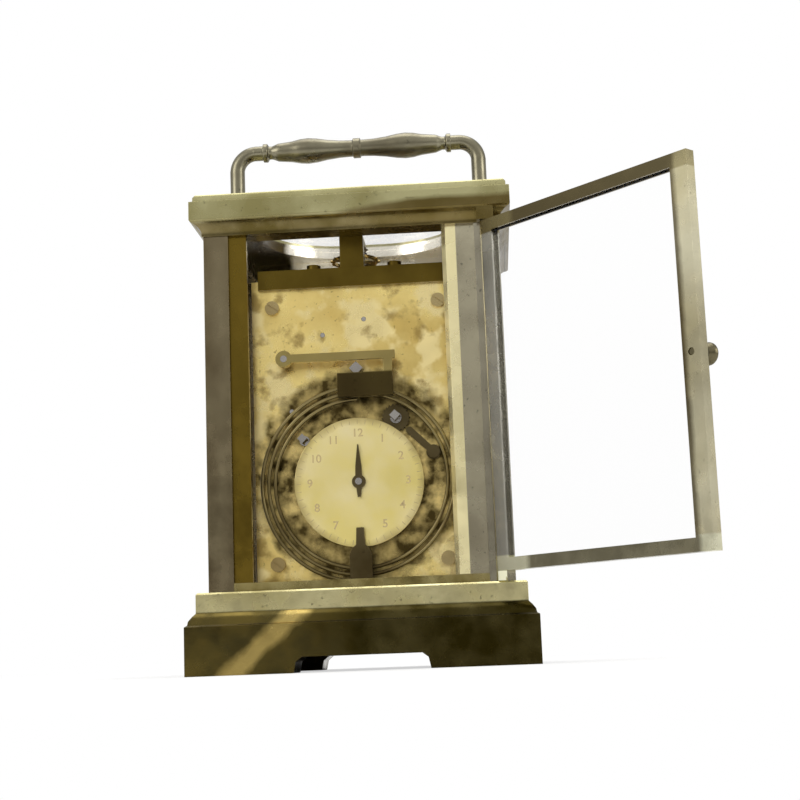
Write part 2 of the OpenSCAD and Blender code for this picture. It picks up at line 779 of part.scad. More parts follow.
// Flat spring wound in half turns, its inner end clear of the staff
module hairspring() {
  z = balance_z + 1.9;
  step = 0.34;
  color(blued) translate([balance_at[0], balance_at[1], z])
    for (i = [0:7]) translate([0, (i % 2) * step, 0]) rotate(i % 2 == 0 ? -90 : 90)
      rotate_extrude(angle = 180) translate([1.3 + i * step, 0]) square([0.14, 0.5]);
}

module balance_cock() {
  w = 3.2;
  color(gilt) difference() {
    union() {
      block(balance_at[0] - w, balance_at[0] + w, back_y - 1, -20.8, platform_top, cock_z + 1.6);
      block(balance_at[0] - w, balance_at[0] + w, -22, balance_at[1] - 2, cock_z, cock_z + 1.6);
      translate([balance_at[0], balance_at[1], cock_z]) cylinder(h = 1.6, r = w);
    }
    translate([balance_at[0], balance_at[1], cock_z - 1]) cylinder(h = 5, r = fine_r + running);
  }
  color(steel) translate([balance_at[0], balance_at[1], cock_z + 1.6]) difference() {
    union() {
      cylinder(h = 0.5, r = 1.9);
      rotate(62) translate([0, -0.4, 0]) cube([6.4, 0.8, 0.5]);
    }
    translate([0, 0, -1]) cylinder(h = 3, r = 0.8);
  }
}

// ---- Motion work, hands and dial ----

module cannon_pinion() {
  color(steel) on_y(centre_at, motion_y) difference() {
    union() {
      linear_extrude(2.3) teeth(12, motion_module, bearing(centre_at, minute_at));
      translate([0, 0, 2.2]) cylinder(h = hands_y - motion_y, r = 1.35);
    }
    translate([0, 0, -1]) cylinder(h = 20, r = 1);
  }
}

module minute_wheel() {
  color(brass) {
    on_y(minute_at, motion_y + 0.4) linear_extrude(1)
      teeth(36, motion_module, bearing(minute_at, centre_at) + 5);
    on_y(minute_at, motion_y + 1.3) linear_extrude(3.3)
      teeth(10, hour_module, bearing(minute_at, centre_at) + 18);
    bar_y(minute_at, front_in + 0.4, motion_y + 5.2, pivot_r);
  }
}

module hour_wheel() {
  color(brass) {
    on_y(centre_at, motion_y + 3.2) linear_extrude(1) difference() {
      teeth(40, hour_module, bearing(centre_at, minute_at));
      circle(r = 1.42);
    }
    on_y(centre_at, motion_y + 3.2) difference() {
      cylinder(h = hands_y + 0.5 - motion_y - 3.2, r = 1.95);
      translate([0, 0, -1]) cylinder(h = 10, r = 1.42);
    }
  }
}

// Hand pointing up from its boss; swell is the open ring near its tip
module hand(at, y, bore, boss, length, swell) {
  color(blued) on_y(at, y) rotate(-90) linear_extrude(0.5) difference() {
    union() {
      circle(r = boss);
      polygon([[0, -0.75], [length * 0.7, -0.45], [length * 0.7, 0.45], [0, 0.75]]);
      translate([length * 0.72, 0]) circle(r = swell);
      polygon([[length * 0.74, -0.6], [length, -0.12], [length, 0.12], [length * 0.74, 0.6]]);
    }
    circle(r = bore);
    translate([length * 0.72, 0]) circle(r = swell - 0.5);
  }
}

module minute_hand() {
  hand(centre_at, hands_y + 1.3, 1.35, 2.3, 18.3, 1.6);
  color(steel) on_y(centre_at, hands_y + 2.2) difference() {
    cylinder(h = 0.5, r = 1.7);
    translate([0, 0, -1]) cylinder(h = 3, r = 1);
  }
}

module hour_hand() {
  rotate_y(centre_at, 126) hand(centre_at, hands_y, 1.95, 3, 12.6, 2);
}

// Turn about the +Y line through a centre, clockwise as seen from the dial
module rotate_y(at, a) {
  translate([at[0], 0, at[1]]) rotate([0, -a, 0]) translate([-at[0], 0, -at[1]]) children();
}

module dial() {
  color(enamel) difference() {
    block(-24.5, 24.5, dial_y, dial_y + dial_thick, 35.4, 103.6);
    on_y(centre_at, dial_y - 1) cylinder(h = 5, r = 2.3);
    on_y(alarm_at, dial_y - 1) cylinder(h = 5, r = 1.25);
  }
  color(brass) for (x = [-21, 21]) for (z = [39, 100]) bar_y([x, z], front_y, dial_y, 1);
}

module dial_mask() {
  x = post_in_x - fit_gap;
  y = dial_y + dial_thick;
  color(gilt) {
    difference() {
      block(-x, x, y, y + 0.8, base_height, cap_z - 0.2);
      block(-23.5, 23.5, y - 1, y + 3, 36.4, 102.6);
    }
    for (s = [0, 1]) mirror([s, 0, 0])
      block(x - 1.6, x, y + 0.8, glass_in_y - fit_gap, base_height, base_height + 5);
  }
}

// ---- Alarm ----

module alarm_barrel() {
  color(brass) {
    on_y(alarm_barrel_at, -21) difference() {
      cylinder(h = 7.2, r = 6.8);
      translate([0, 0, 1]) cylinder(h = 5.2, r = 6);
      translate([0, 0, -1]) cylinder(h = 20, r = alarm_core_r + running);
    }
    on_y(alarm_barrel_at, -13.8) difference() {
      linear_extrude(1.2) teeth(alarm_teeth, alarm_module, bearing(alarm_barrel_at, strike_at));
      translate([0, 0, -1]) cylinder(h = 5, r = alarm_core_r + running);
    }
  }
}

module alarm_winding_arbor() {
  color(steel) {
    bar_y(alarm_barrel_at, -25.2, -12, alarm_core_r);
    bar_y(alarm_barrel_at, -12, front_y, alarm_front_r);
    bar_y(alarm_barrel_at, -19.6, -15, 2.4);
    key_square(alarm_barrel_at, -30.4, -25.2, 1.8);
  }
}

module strike_arbor() {
  color(steel) {
    bar_y(strike_at, back_y, front_y, pivot_r);
    bar_y(strike_at, back_in + 0.2, front_in - 0.2, strike_r);
    on_y(strike_at, -14.5) linear_extrude(2.6)
      teeth(strike_leaves, alarm_module, bearing(strike_at, alarm_barrel_at) + 180 / strike_leaves);
  }
}

module strike_wheel() {
  color(brass) on_y(strike_at, -8.6) linear_extrude(1) difference() {
    teeth(24, 0.4, 0, 0.8, 1.6);
    for (i = [0:2]) rotate(i * 120) translate([2.5, 0]) circle(r = 1);
    circle(r = strike_r);
  }
}

module hammer_arbor() {
  color(steel) {
    bar_y(hammer_at, -29.6, 4, hammer_arbor_r);
    bar_y(hammer_at, 4, front_y, pivot_r);
    block(hammer_at[0] - 0.5, hammer_at[0] + 0.5, -8.8, -7.4, 75.4, hammer_at[1] - 0.6);
    block(hammer_at[0] - 2.4, hammer_at[0] + 2.4, -8.8, -7.4, 74.4, 75.6);
  }
}

// Bar, head and striking nib; the nib hangs just above the gong's top turn
module hammer() {
  nib_z = alarm_at[1] + gong_r + wire_r + 0.3;
  color(steel) {
    difference() {
      union() {
        block(hammer_at[0] - 1, 10.6, -29.6, -28.4, 80.9, 83.1);
        bar_y(hammer_at, -29.6, -27.6, 2.2);
      }
      bar_y(hammer_at, -31, -20, hammer_arbor_r);
    }
    block(7.4, 9.8, -29.6, -28.4, 77, 81.2);
    block(-4.8, 9.8, -30.6, -28.2, 70.9, 77.3);
    block(1.8, 4.2, -28.3, -26.2, nib_z, nib_z + 1.4);
  }
}

module gong() {
  step = gong_pitch / 2;
  color(blued) for (i = [0:4])
    on_y([alarm_at[0], alarm_at[1] + (i % 2) * step], gong_y) rotate(i % 2 == 0 ? 90 : -90)
      rotate_extrude(angle = 180) translate([gong_r - i * step, 0]) circle(r = wire_r, $fn = 32);
}

// Steel block that grips the gong's outer end, with a flask-shaped index standing on it
module gong_block() {
  z = alarm_at[1] - gong_r;
  color(steel) {
    difference() {
      block(-3.4, 3.4, -29.6, back_y, z - 1.1, z + 0.85);
      block(-4, 4, gong_y - wire_r - 0.02, gong_y + wire_r + 0.02, z - 0.52, z + 1);
    }
    translate([0, -29.6, 0]) rotate([90, 0, 0]) linear_extrude(1.2)
      polygon([[-2.9, z - 1.1], [2.9, z - 1.1], [2.9, 29.6], [2.3, 31], [1.2, 32], [1, 36.4],
        [-1, 36.4], [-1.2, 32], [-2.3, 31], [-2.9, 29.6]]);
  }
}

module alarm_disc() {
  color(gilt) {
    on_y(alarm_at, disc_y - 0.4) difference() {
      cylinder(h = 0.9, r = disc_r);
      translate([0, 0, -1]) cylinder(h = 5, r = setting_r + running);
    }
    for (a = [90, 210, 330]) bar_y([13 * cos(a), alarm_at[1] + 13 * sin(a)], disc_y + 0.5, back_y, 0.9);
  }
}

module alarm_arbor() {
  color(steel) {
    bar_y(alarm_at, -30.8, hands_y + 1, setting_r);
    bar_y(alarm_at, back_in + 0.3, back_in + 2, 2);
    bar_y(alarm_at, front_in - 2, front_in - 0.3, 2);
  }
}

module alarm_pointer() {
  color(blued) on_y(alarm_at, -30) rotate(-90) linear_extrude(0.7) difference() {
    union() {
      circle(r = 1.8);
      polygon([[0, -0.9], [4, -0.8], [9.8, -0.12], [9.8, 0.12], [4, 0.8], [0, 0.9], [-4, 0.4], [-4, -0.4]]);
    }
    circle(r = setting_r);
  }
}

module alarm_hand() {
  hand(alarm_at, hands_y, setting_r, 1.6, 7.6, 1);
}

// ---- Draw ----

base();
bottom_plate();
case_posts();
cap();
top_glass();
side_glasses();
front_glass();
rear_jambs();
door_frame();
door_glass();
door_knob();
handle_arms();
handle_grip();
handle_posts();
back_plate();
front_plate();
pillars();
pillar_screws();
going_barrel();
barrel_arbor();
ratchet_wheel();
click();
centre_arbor();
centre_wheel();
third_arbor();
third_wheel();
contrate_arbor();
contrate_wheel();
platform();
escape_arbor();
escape_wheel();
lever();
balance();
balance_staff();
hairspring();
balance_cock();
cannon_pinion();
minute_wheel();
hour_wheel();
minute_hand();
hour_hand();
dial();
dial_mask();
alarm_barrel();
alarm_winding_arbor();
strike_arbor();
strike_wheel();
hammer_arbor();
hammer();
gong();
gong_block();
alarm_disc();
alarm_arbor();
alarm_pointer();
alarm_hand();
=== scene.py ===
import json
import math

import bmesh
import bpy
from mathutils import Matrix, Vector


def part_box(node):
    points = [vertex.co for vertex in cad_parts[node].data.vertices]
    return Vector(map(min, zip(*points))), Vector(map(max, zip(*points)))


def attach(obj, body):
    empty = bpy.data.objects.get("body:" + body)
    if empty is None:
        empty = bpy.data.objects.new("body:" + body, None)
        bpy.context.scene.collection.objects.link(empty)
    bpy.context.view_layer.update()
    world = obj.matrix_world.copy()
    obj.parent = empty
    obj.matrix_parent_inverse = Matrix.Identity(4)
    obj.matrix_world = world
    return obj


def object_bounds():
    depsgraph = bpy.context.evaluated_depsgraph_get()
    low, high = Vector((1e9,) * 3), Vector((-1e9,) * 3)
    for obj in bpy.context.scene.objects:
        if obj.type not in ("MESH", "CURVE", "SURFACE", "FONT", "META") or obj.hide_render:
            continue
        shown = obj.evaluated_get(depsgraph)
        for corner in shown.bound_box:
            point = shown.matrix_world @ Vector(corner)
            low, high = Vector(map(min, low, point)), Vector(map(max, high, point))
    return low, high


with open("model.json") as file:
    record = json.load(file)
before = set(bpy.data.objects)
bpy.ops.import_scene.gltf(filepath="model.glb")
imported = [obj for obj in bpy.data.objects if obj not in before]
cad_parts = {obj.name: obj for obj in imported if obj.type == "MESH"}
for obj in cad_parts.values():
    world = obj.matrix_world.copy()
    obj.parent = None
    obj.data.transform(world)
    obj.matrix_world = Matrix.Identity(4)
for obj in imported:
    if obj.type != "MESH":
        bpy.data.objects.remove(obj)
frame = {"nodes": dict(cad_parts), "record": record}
cad_low, cad_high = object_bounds()
nodes = frame["nodes"]

# ---------------------------------------------------------------- Case castings
# The base, posts and cap are cast brass, filed and polished, then lacquered and
# screwed together. The lacquer has worn, so the metal has toned to olive. Painted shade
# darkens the cap's hollow, its inside corners and the base's lower block; painted
# highlights brighten the inside of the cap and one rear foot.


class Wire:
    """A shader socket. Arithmetic on it adds Math nodes to its finish."""

    def __init__(self, tree, socket=None):
        self.tree = tree
        self.socket = socket

    def add(self, kind, settings=None, sockets=None, out=0):
        """Adds a node, sets it up, feeds its sockets and gives back one output."""
        made = self.tree.nodes.new(kind)
        for name, value in (settings or {}).items():
            if name == "stops":
                stops = made.color_ramp.elements
                while len(stops) < len(value):
                    stops.new(0.5)
                for stop, (place, shade) in zip(stops, value):
                    stop.position = place
                    stop.color = shade
            else:
                setattr(made, name, value)
        for name, value in (sockets or {}).items():
            if isinstance(value, Wire):
                self.tree.links.new(value.socket, made.inputs[name])
            else:
                made.inputs[name].default_value = value
        return Wire(self.tree, made.outputs[out])

    def sum(self, how, a, b=0.0):
        return self.add("ShaderNodeMath", {"operation": how}, {0: a, 1: b})

    def __add__(self, other):
        return self.sum("ADD", self, other)

    def __radd__(self, other):
        return self.sum("ADD", other, self)

    def __sub__(self, other):
        return self.sum("SUBTRACT", self, other)

    def __rsub__(self, other):
        return self.sum("SUBTRACT", other, self)

    def __mul__(self, other):
        return self.sum("MULTIPLY", self, other)

    def __rmul__(self, other):
        return self.sum("MULTIPLY", other, self)

    @property
    def x(self):
        return self.add("ShaderNodeSeparateXYZ", None, {0: self})

    @property
    def y(self):
        return self.add("ShaderNodeSeparateXYZ", None, {0: self}, 1)

    @property
    def z(self):
        return self.add("ShaderNodeSeparateXYZ", None, {0: self}, 2)

    def over(self, low, high):
        """0 at low, 1 at high, held there beyond."""
        return self.add("ShaderNodeMapRange", {"clamp": True},
                        {"Value": self, "From Min": low, "From Max": high})

    def between(self, first, second):
        """Colour that goes from first to second as this value goes from 0 to 1."""
        return self.add("ShaderNodeMix", {"data_type": "RGBA"}, {0: self, 6: first, 7: second}, 2)


def new_finish(name):
    """An empty finish, with the place on the piece to draw its pattern from."""
    material = bpy.data.materials.new(name)
    material.use_nodes = True
    material.node_tree.nodes.clear()
    bench = Wire(material.node_tree)
    place = bench.add("ShaderNodeTexCoord", out=3)
    return material, bench, place


def noise(bench, place, per_metre, detail=3.0, stretch=(1, 1, 1)):
    spread = bench.add("ShaderNodeMapping", None, {"Vector": place, "Scale": stretch})
    return bench.add("ShaderNodeTexNoise", None, {"Vector": spread, "Scale": per_metre, "Detail": detail})


def close(bench, shader):
    end = bench.tree.nodes.new("ShaderNodeOutputMaterial")
    bench.tree.links.new(shader.socket, end.inputs["Surface"])


def metal(name, bright, toned, shine, grain=(1, 1, 1), grain_depth=0.00001, specks=0.0, wear_and_shade=None):
    """Polished metal: toned in patches, with fine grain, smears and small dark specks."""
    material, bench, place = new_finish(name)
    patches = noise(bench, place, 60, 5).over(0.42, 0.66)
    smears = noise(bench, place, 240, 4).over(0.3, 0.75)
    lines = noise(bench, place, 2600, 2, grain)
    colour = patches.between(bright, toned)
    if specks:
        spots = noise(bench, place, 900, 2).over(0.66, 0.74) * specks
        colour = spots.between(colour, tuple(0.22 * c for c in toned[:3]) + (1,))
    # The hook adds tone and wear, and also painted shade and painted highlights.
    if wear_and_shade:
        colour = wear_and_shade(bench, place, colour)
    bump = bench.add("ShaderNodeBump", None, {"Strength": 0.35, "Distance": grain_depth, "Height": lines})
    shader = bench.add("ShaderNodeBsdfPrincipled", None, {
        "Base Color": colour, "Metallic": 1.0, "Roughness": smears * 0.12 + (patches * 0.1 + shine),
        "Normal": bump})
    close(bench, shader)
    return material


def dress(material, *names):
    """Gives CAD nodes their finish."""
    for name in names:
        nodes[name].data.materials.clear()
        nodes[name].data.materials.append(material)


def ease(width, *names, angle=35):
    """Breaks the sharp edges of CAD nodes as a file and polishing wheel would."""
    for name in names:
        piece = nodes[name]
        for face in piece.data.polygons:
            face.use_smooth = True
        weld = piece.modifiers.new("weld", "WELD")
        weld.merge_threshold = 0.000002
        if width:
            flat = piece.modifiers.new("flat", "DECIMATE")
            flat.decimate_type = "DISSOLVE"
            flat.angle_limit = math.radians(0.4)
            edge = piece.modifiers.new("eased", "BEVEL")
            edge.width = width
            edge.segments = 2
            edge.limit_method = "ANGLE"
            edge.angle_limit = math.radians(angle)
            lay = piece.modifiers.new("lay", "WEIGHTED_NORMAL")
            lay.weight = 100
            lay.keep_sharp = True
        else:
            split = piece.modifiers.new("split", "EDGE_SPLIT")
            split.split_angle = math.radians(angle)


base_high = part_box("base")[1]
cap_low, cap_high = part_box("cap")
post_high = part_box("case_posts")[1]
step_low = base_high.z - 0.0052
glint_slope = 1.13
glint_left = 0.0305
glint_ragged = 0.006


def base_wear(bench, place, colour):
    """Painted shade makes the base's lower block nearly black, lighter to the left, and a painted highlight
    streaks across one rear foot; the step keeps the brass colour.
    """
    across = place.x
    height = place.z
    lower = height.over(step_low + 0.0004, step_low)
    ragged = noise(bench, place, 140, 4) * glint_ragged + glint_left
    from_glint = bench.sum("ABSOLUTE", across - height * glint_slope + ragged)
    rear = place.y.over(0, -0.02)
    # Painted highlight: a ragged diagonal streak across the rear of the left foot.
    foot_highlight = from_glint.over(0.0048, 0.0018) * across.over(-0.008, -0.016) * rear
    left = across.over(0.0, -0.02)
    # Painted shade: the lower block, a little lighter towards the left.
    lower_shade = left.between((0.024, 0.018, 0.003, 1), (0.108, 0.080, 0.021, 1))
    lower_shade = noise(bench, place, 150, 4).over(0.35, 0.7).between(lower_shade, (0.06, 0.048, 0.016, 1))
    return lower.between(colour, (foot_highlight * 0.55).between(lower_shade, (0.66, 0.49, 0.16, 1)))


cap_floor = cap_low.z + 0.0036
inner_x = post_high.x - 0.0067
inner_y = post_high.y - 0.0067
rim_z = cap_high.z - 0.0010
bright_half = 0.0225


def cap_wear(bench, place, colour):
    """The cap's outer band is olive; painted shade darkens the hollow under it, more to the right; inside, a
    painted highlight lights the middle and painted shade darkens the corners.
    """
    across = bench.add("ShaderNodeVectorMath", {"operation": "ABSOLUTE"}, {0: place})
    side = across.x
    depth = across.y
    height = place.z
    right = place.x.over(-0.004, 0.016)
    ragged = height - right * 0.0030 + noise(bench, place, 90, 4) * 0.0012
    # Painted shade in the hollow under the cap's band, heavier to the right.
    hollow = ragged.over(cap_floor + 0.0014, cap_floor)
    within = side.over(inner_x + 0.0005, inner_x) * depth.over(inner_y + 0.0005, inner_y)
    inside = within * height.over(rim_z + 0.0004, rim_z)
    front = place.y.over(0, 0.001)
    mottle = noise(bench, place, 110, 4).over(0.35, 0.7)
    shade_brown = mottle.between((0.10, 0.075, 0.022, 1), (0.21, 0.17, 0.08, 1))
    shade_brown = right.between(shade_brown, mottle.between((0.12, 0.088, 0.026, 1), (0.17, 0.13, 0.05, 1)))
    hollow_shaded = hollow.between(colour, shade_brown)
    # Painted highlight on the cap's inside walls across the middle, painted shade in the corners beyond.
    lit = front * side.over(bright_half + 0.0015, bright_half)
    inside_light_and_shade = lit.between((0.08, 0.055, 0.016, 1), (0.97, 0.92, 0.80, 1))
    return inside.between(hollow_shaded, inside_light_and_shade)


def post_wear(bench, place, colour):
    """Painted shade makes the left posts browner than the right ones, which stand nearer the light."""
    across = place.x
    left = across.over(0.001, 0)
    streaks = noise(bench, place, 130, 4, (1, 1, 0.3)).over(0.3, 0.75)
    return left.between(colour, streaks.between((0.115, 0.085, 0.045, 1), (0.24, 0.20, 0.12, 1)))


case_brass = metal("case_brass", (0.45, 0.42, 0.22, 1), (0.27, 0.24, 0.10, 1), 0.15, specks=0.6,
                   wear_and_shade=cap_wear)
dress(case_brass, "cap")
base_brass = metal("base_brass", (0.68, 0.62, 0.34, 1), (0.38, 0.33, 0.15, 1), 0.15, specks=0.6,
                   wear_and_shade=base_wear)
dress(base_brass, "base", "bottom_plate")
post_brass = metal("post_brass", (0.36, 0.33, 0.25, 1), (0.20, 0.18, 0.13, 1), 0.15, (1, 1, 0.08),
                   specks=0.6, wear_and_shade=post_wear)
dress(post_brass, "case_posts")
ease(0.00035, "base", "cap")
ease(0.0002, "bottom_plate", "case_posts", "rear_jambs")

# ---------------------------------------------------------------- Strips and sill
# Brass strips fixed behind the rear door, with a low sill between them. Painted shade
# makes the left one brown. The right one, beside the hinge, has a painted highlight
# along the bead that the door's edge passes.


def jamb_wear(bench, place, colour):
    """Painted shade browns the left strip, a painted cream highlight lies on the right one's bead, and the
    sill between them is mottled olive brown.
    """
    across = place.x
    # Painted highlight: a cream line along the right strip's bead.
    bead_highlight = across.over(bead_edge + 0.0001, bead_edge - 0.0001) * across.over(0, 0.0001)
    shaded = across.over(0.0001, 0)
    colour = bead_highlight.between(colour, (0.94, 0.84, 0.48, 1))
    # Painted shade on the left strip.
    colour = shaded.between(colour, (0.15, 0.10, 0.015, 1))
    sill = place.z.over(sill_top + 0.0002, sill_top)
    dull = noise(bench, place, 180, 4).over(0.3, 0.7)
    return sill.between(colour, dull.between((0.20, 0.155, 0.05, 1), (0.40, 0.34, 0.15, 1)))


jamb_low, jamb_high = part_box("rear_jambs")
bead_edge = jamb_high.x - 0.0049
sill_top = jamb_low.z + 0.0022
jamb_brass = metal("jamb_brass", (0.46, 0.42, 0.30, 1), (0.26, 0.23, 0.16, 1), 0.17, (1, 1, 0.1),
                   specks=0.7, wear_and_shade=jamb_wear)
dress(jamb_brass, "rear_jambs")

# ---------------------------------------------------------------- Panes
# Clear polished glass, slid into grooves in the posts, with an oval pane let
# into the cap. Edges are ground; the faces carry only faint smears.


def glass(name):
    material, bench, place = new_finish(name)
    smears = noise(bench, place, 90, 4).over(0.35, 0.8)
    clear = bench.add("ShaderNodeBsdfTransparent", None, {"Color": (1, 1, 1, 1)})
    skin = bench.add("ShaderNodeBsdfPrincipled", None, {
        "Base Color": smears.between((1, 1, 1, 1), (0.96, 0.97, 0.96, 1)),
        "Roughness": smears * 0.05 + 0.02, "Metallic": 1.0})
    edge_on = bench.add("ShaderNodeLayerWeight", None, {"Blend": 0.5}, 1)
    gleam = edge_on * edge_on * edge_on * edge_on * 0.5 + 0.012
    mixed = bench.add("ShaderNodeMixShader", None, {0: gleam, 1: clear, 2: skin})
    close(bench, mixed)
    return material


pane_glass = glass("pane_glass")
dress(pane_glass, "top_glass", "side_glasses", "front_glass", "door_glass")
ease(0.0003, "top_glass", "side_glasses", "front_glass", "door_glass")

# ---------------------------------------------------------------- Rear door
# A brass frame round one pane, hung on two short pins, with a turned knob on
# its free side. Its face is bright brass, with painted shade along the pane and round the knob.

door_hinge = next(j for j in frame["record"]["behaviour"]["joints"] if j["name"] == "door_hinge")
hinge_line = Vector(door_hinge["pos_m"])
door_turn = math.radians(-door_hinge["range_deg"][0])
door_way = Vector((-math.cos(door_turn), -math.sin(door_turn), 0))
pane_low, pane_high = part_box("door_glass")
frame_lap = 0.0020
rail_lap = 0.0012
pane_edge = (Vector((pane_high.x, pane_low.y, 0)) - hinge_line).dot(door_way) - frame_lap
knob_low, knob_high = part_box("door_knob")
knob_height = (knob_low.z + knob_high.z) / 2


def door_wear(bench, place, colour):
    """The hinge stile is greyer, the top rail darker brown and the foot rail paler than the free stile;
    painted shade lies along the pane's rebate and round the knob.
    """
    apart = bench.add("ShaderNodeVectorMath", {"operation": "SUBTRACT"}, {0: place, 1: hinge_line})
    reach = bench.add("ShaderNodeVectorMath", {"operation": "DOT_PRODUCT"}, {0: apart, 1: door_way}, 1)
    height = place.z
    top = height.over(pane_high.z - rail_lap - 0.0004, pane_high.z - rail_lap)
    foot = height.over(pane_low.z + rail_lap + 0.0004, pane_low.z + rail_lap)
    near = reach.over(0.0080, 0.0060)
    colour = near.between(colour, (0.40, 0.385, 0.33, 1))
    colour = foot.between(colour, noise(bench, place, 160, 4).between(
        (0.58, 0.56, 0.38, 1), (0.84, 0.82, 0.62, 1)))
    colour = top.between(colour, reach.over(0.005, pane_edge).between(
        (0.19, 0.155, 0.07, 1), (0.34, 0.295, 0.16, 1)))
    ragged = reach + noise(bench, place, 120, 4) * 0.0014
    # Painted shade along the rebate round the pane.
    rim_shade = ragged.over(pane_edge + 0.0030, pane_edge + 0.0016) * reach.over(0.010, 0.012)
    # Painted shade round the knob, on the free stile.
    off_knob = bench.sum("ABSOLUTE", height - knob_height)
    knob_shade = off_knob.over(0.024, 0.006)
    colour = (knob_shade * 0.55 * (1 - near)).between(colour, (0.26, 0.225, 0.13, 1))
    return (rim_shade * (knob_shade * 0.15 + 0.8)).between(colour, (0.085, 0.065, 0.03, 1))


door_brass = metal("door_brass", (0.74, 0.69, 0.49, 1), (0.50, 0.45, 0.28, 1), 0.14, specks=0.3,
                   wear_and_shade=door_wear)
dress(door_brass, "door_frame")
# The knob is painted a dark brown, standing in for the shade it sits in.
shaded_knob_brass = metal("shaded_knob_brass", (0.16, 0.14, 0.085, 1), (0.10, 0.085, 0.045, 1), 0.2, specks=0.3)
dress(shaded_knob_brass, "door_knob")
ease(0.0003, "door_frame")
ease(0.00015, "door_knob")

# ---------------------------------------------------------------- Handle
# Two bent arms with a turned double-swell grip between them, on turned posts.
# It is the same brass, coloured a dark grey olive.

handle_brass = metal("handle_brass", (0.24, 0.22, 0.15, 1), (0.13, 0.115, 0.075, 1), 0.22, specks=0.5)
dress(handle_brass, "handle_arms", "handle_grip", "handle_posts")
ease(0.0003, "handle_arms")
ease(0.00012, "handle_grip", "handle_posts", angle=24)

# ---------------------------------------------------------------- Movement plates
# Two rolled brass plates, gilt with a fine upright grain, held apart by turned
# pillars. The platform and the balance cock are painted a dark brown for the shade they sit in.

gong_low, gong_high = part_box("gong")
shade_lift = 0.0025
gong_centre = Vector(((gong_low.x + gong_high.x) / 2, 0, (gong_low.z + gong_high.z) / 2 + shade_lift))
gong_reach = (gong_high.x - gong_low.x) / 2


def flat_from(bench, place, centre):
    """The way from a centre, with its part along the arbors left out."""
    apart = bench.add("ShaderNodeVectorMath", {"operation": "SUBTRACT"}, {0: place, 1: centre})
    return bench.add("ShaderNodeVectorMath", {"operation": "MULTIPLY"}, {0: apart, 1: (1, 0, 1)})


def gong_shade(bench, place, colour):
    """Painted shade: the gilding is painted dark brown in a ring behind the gong, heaviest above and below
    it, over random pale and dark patches.
    """
    flat = flat_from(bench, place, gong_centre)
    ragged = noise(bench, place, 200, 5) * 0.010
    away = bench.add("ShaderNodeVectorMath", {"operation": "LENGTH"}, {0: flat}, 1) + ragged
    # Painted shade in a ring round the gong, heavier above and below it.
    ring = away.over(gong_reach + 0.0085, gong_reach + 0.0055)
    mottle = noise(bench, place, 300, 3).over(0.36, 0.66)
    off_middle = bench.sum("ABSOLUTE", flat.z - 0.0016)
    shade_above_below = off_middle.over(0.0100, 0.0165)
    gilding_left = shade_above_below.between((0.78, 0.60, 0.23, 1), (0.46, 0.35, 0.13, 1))
    shade_brown = mottle.between((0.065, 0.045, 0.013, 1), gilding_left)
    pale = noise(bench, place, 150, 3).over(0.48, 0.60)
    stained = noise(bench, place, 190, 4).over(0.54, 0.66) * 0.7
    colour = stained.between(pale.between(colour, (0.92, 0.76, 0.36, 1)), (0.30, 0.20, 0.06, 1))
    return ring.between(colour, shade_brown)


upright_grain = (1, 1, 0.06)
plate_gilt = metal("plate_gilt", (0.94, 0.745, 0.28, 1), (0.62, 0.45, 0.14, 1), 0.22, upright_grain,
                   0.000012, specks=0.5, wear_and_shade=gong_shade)
dress(plate_gilt, "back_plate")
clean_gilt = metal("clean_gilt", (0.84, 0.66, 0.27, 1), (0.66, 0.49, 0.17, 1), 0.2, upright_grain,
                   0.000012, specks=0.3)
dress(clean_gilt, "front_plate", "dial_mask")
# Painted shade: the platform and the balance cock are painted dark brown.
platform_shade_gilt = metal("platform_shade_gilt", (0.125, 0.085, 0.014, 1), (0.07, 0.045, 0.007, 1), 0.24, (0.06, 1, 1))
dress(platform_shade_gilt, "platform", "balance_cock")
ease(0.0002, "back_plate", "front_plate", "platform", "balance_cock", "dial_mask")

wheel_brass = metal("wheel_brass", (0.78, 0.60, 0.25, 1), (0.58, 0.42, 0.16, 1), 0.14)
dress(wheel_brass, "pillars", "going_barrel", "centre_wheel", "third_wheel", "contrate_wheel",
      "escape_wheel", "balance", "minute_wheel", "hour_wheel", "alarm_barrel", "strike_wheel")
ease(0, "pillars", "going_barrel", "centre_wheel", "third_wheel", "contrate_wheel", "escape_wheel",
     "balance", "minute_wheel", "hour_wheel", "alarm_barrel", "strike_wheel")

# ---------------------------------------------------------------- Arbors, screws and hammer
# Hardened steel, polished bright on arbors and screw heads and left darker on
# the hammer, the gong's block and the click.

bright_steel = metal("bright_steel", (0.46, 0.44, 0.42, 1), (0.26, 0.24, 0.22, 1), 0.15)
dress(bright_steel, "barrel_arbor", "centre_arbor", "third_arbor", "contrate_arbor",
      "escape_arbor", "lever", "balance_staff", "cannon_pinion", "alarm_winding_arbor",
      "strike_arbor", "hammer_arbor", "alarm_arbor")
dark_steel = metal("dark_steel", (0.11, 0.085, 0.04, 1), (0.05, 0.036, 0.014, 1), 0.28, specks=0.4)
dress(dark_steel, "gong_block", "click", "ratchet_wheel", "alarm_pointer")
hammer_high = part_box("hammer")[1]


def hammer_wear(bench, place, colour):
    """The hammer's head is black, and its bar has worn to a bronze colour."""
    bar = place.z.over(hammer_high.z - 0.0072, hammer_high.z - 0.0064)
    return bar.between(colour, (0.30, 0.235, 0.085, 1))


